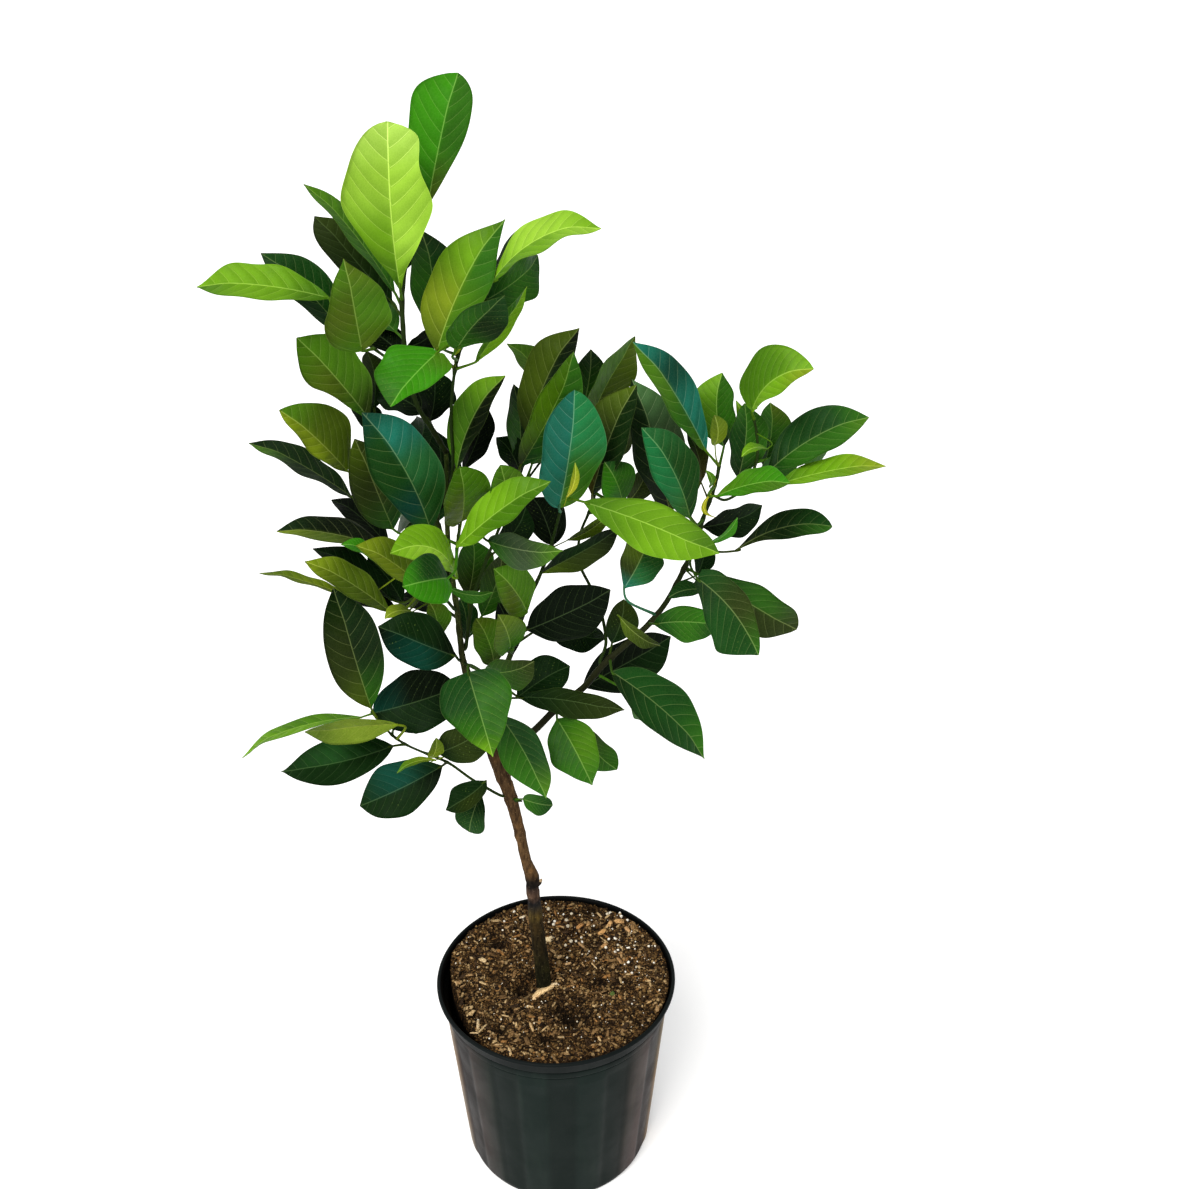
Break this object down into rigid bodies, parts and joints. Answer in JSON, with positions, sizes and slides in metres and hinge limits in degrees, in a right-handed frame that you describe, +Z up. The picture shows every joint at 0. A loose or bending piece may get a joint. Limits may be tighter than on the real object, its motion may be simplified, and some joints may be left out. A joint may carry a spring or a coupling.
{
  "type": "potted jackfruit tree",
  "caption": "Young grafted jackfruit tree with broad glossy leaves on a slim leaning trunk, standing in a round black nursery pot filled with potting mix.",
  "frame": {"origin": "centre of the pot's flat base, on the surface it stands on", "axes": "+Z up along the pot's axis, -Y towards the viewer of the picture, +X to the viewer's right"},
  "size_m": [0.644, 0.3372, 1.2295],
  "materials": {
    "pot_plastic": "satin black nursery plastic",
    "potting_mix": "dark composted bark and coir with chips and perlite",
    "bark": "matte brown young bark, greener towards the top",
    "leaf": "glossy leathery green blades with pale veins"
  },
  "bodies": {
    "root": {"pot": "pot_plastic", "soil": "potting_mix", "trunk": "bark", "shoot_leader": "leaf", "shoot_upper_left": "leaf", "shoot_mid_left": "leaf", "shoot_low_left_mid": "leaf", "shoot_front": "leaf", "shoot_top_centre": "leaf", "shoot_centre_back": "leaf", "shoot_centre": "leaf", "shoot_spur": "leaf", "shoot_spur_left": "leaf", "shoot_right": "leaf", "shoot_right_mid": "leaf", "shoot_right_crown": "leaf", "shoot_far_right": "leaf", "shoot_low_left": "leaf", "shoot_back_right": "leaf", "shoot_back_left": "leaf", "shoot_low_right": "leaf"}
  },
  "joints": []
}
